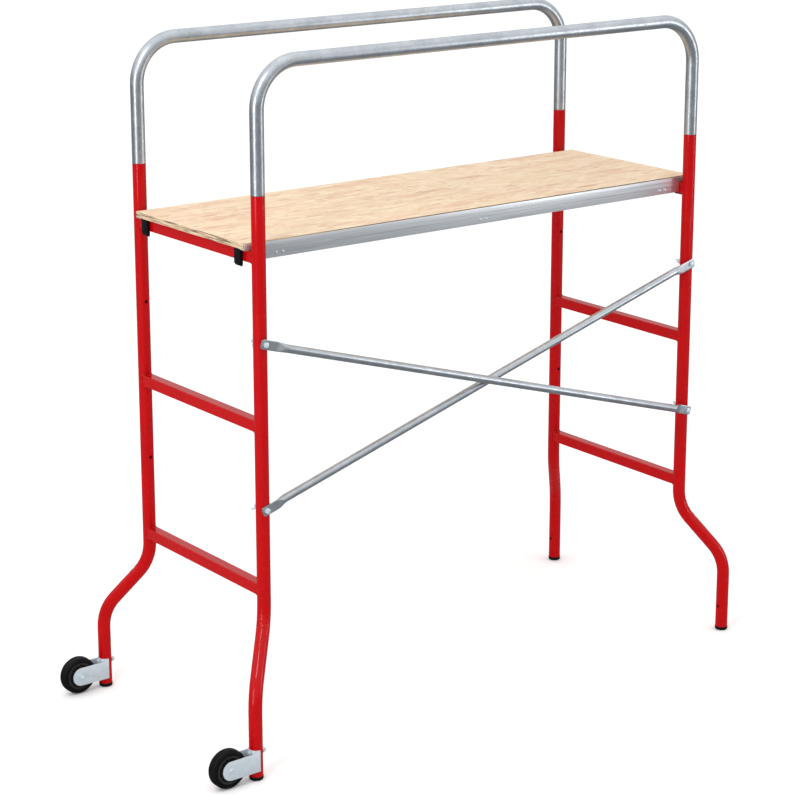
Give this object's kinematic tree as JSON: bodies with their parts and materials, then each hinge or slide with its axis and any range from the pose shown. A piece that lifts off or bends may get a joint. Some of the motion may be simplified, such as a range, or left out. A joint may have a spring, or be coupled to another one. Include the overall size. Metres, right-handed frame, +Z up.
{
  "type": "baker scaffold",
  "caption": "Low mobile work platform: two red tubular end frames with rungs, a plank deck between them, crossed braces, guard hoops and wheels at one end.",
  "frame": {"origin": "on the ground, at the middle of the overall footprint", "axes": "+X along the deck to the end without wheels, +Y to the side without braces, +Z up"},
  "size_m": [1.7833, 0.7812, 1.7878],
  "materials": {
    "red_paint": "glossy red powder coat",
    "galvanised_steel": "satin galvanised",
    "zinc_plated_steel": "bright zinc plated",
    "aluminium": "mill finish extrusion",
    "plywood": "light lacquered plywood with a flecked grain",
    "black_plastic": "matt",
    "grey_plastic": "matt",
    "rubber": "matt"
  },
  "bodies": {
    "frame": {"post_front_left": "red_paint", "foot_front_left": "black_plastic", "post_front_right": "red_paint", "foot_front_right": "black_plastic", "post_rear_left": "red_paint", "foot_rear_left": "black_plastic", "post_rear_right": "red_paint", "foot_rear_right": "black_plastic", "rung_left_lower": "red_paint", "rung_left_middle": "red_paint", "rung_left_top": "red_paint", "rung_right_lower": "red_paint", "rung_right_middle": "red_paint", "rung_right_top": "red_paint", "brace_rising": "galvanised_steel", "brace_falling": "galvanised_steel", "brace_spacers": "zinc_plated_steel", "brace_bolts": "zinc_plated_steel", "brace_washers": "zinc_plated_steel", "fork_front": "zinc_plated_steel", "fork_rear": "zinc_plated_steel", "axle_sleeves": "zinc_plated_steel", "axle_bolts": "zinc_plated_steel", "axle_nuts": "zinc_plated_steel", "fork_bolts": "zinc_plated_steel", "fork_washers": "zinc_plated_steel", "fork_nuts": "zinc_plated_steel"},
    "deck": {"deck_board": "plywood", "deck_rail_front": "aluminium", "deck_rail_rear": "aluminium", "deck_beam_left": "aluminium", "deck_beam_middle": "aluminium", "deck_beam_right": "aluminium", "beam_rivets": "aluminium", "clip_screws": "zinc_plated_steel", "board_screws": "zinc_plated_steel", "deck_clip_front_left": "black_plastic", "deck_clip_front_right": "black_plastic", "deck_clip_rear_left": "black_plastic", "deck_clip_rear_right": "black_plastic"},
    "guard_front": {"guard_front": "galvanised_steel"},
    "guard_rear": {"guard_rear": "galvanised_steel"},
    "wheel_front": {"tyre_front": "rubber", "hub_front": "grey_plastic"},
    "wheel_rear": {"tyre_rear": "rubber", "hub_rear": "grey_plastic"},
    "wing_nut_left_upper": {"wing_nut_left_upper": "zinc_plated_steel"},
    "wing_nut_left_lower": {"wing_nut_left_lower": "zinc_plated_steel"},
    "wing_nut_right_upper": {"wing_nut_right_upper": "zinc_plated_steel"},
    "wing_nut_right_lower": {"wing_nut_right_lower": "zinc_plated_steel"}
  },
  "joints": [
    {"name": "deck_lift", "type": "slide", "parent": "frame", "child": "deck", "axis": [0, 0, 1], "range_m": [0, 0.3]},
    {"name": "guard_front_lift", "type": "slide", "parent": "frame", "child": "guard_front", "axis": [0, 0, 1], "range_m": [0, 0.08]},
    {"name": "guard_rear_lift", "type": "slide", "parent": "frame", "child": "guard_rear", "axis": [0, 0, 1], "range_m": [0, 0.08]},
    {"name": "wheel_front_spin", "type": "hinge", "parent": "frame", "child": "wheel_front", "pos_m": [-0.84165, -0.3675, 0.0515], "axis": [0, 1, 0], "continuous": true},
    {"name": "wheel_rear_spin", "type": "hinge", "parent": "frame", "child": "wheel_rear", "pos_m": [-0.84165, 0.3675, 0.0515], "axis": [0, 1, 0], "continuous": true},
    {"name": "wing_nut_left_upper_spin", "type": "hinge", "parent": "frame", "child": "wing_nut_left_upper", "pos_m": [-0.66165, -0.2531, 1.0875], "axis": [0, 1, 0], "continuous": true},
    {"name": "wing_nut_left_lower_spin", "type": "hinge", "parent": "frame", "child": "wing_nut_left_lower", "pos_m": [-0.66165, -0.2531, 0.6625], "axis": [0, 1, 0], "continuous": true},
    {"name": "wing_nut_right_upper_spin", "type": "hinge", "parent": "frame", "child": "wing_nut_right_upper", "pos_m": [0.77835, -0.2531, 1.0875], "axis": [0, 1, 0], "continuous": true},
    {"name": "wing_nut_right_lower_spin", "type": "hinge", "parent": "frame", "child": "wing_nut_right_lower", "pos_m": [0.77835, -0.2531, 0.6625], "axis": [0, 1, 0], "continuous": true}
  ]
}
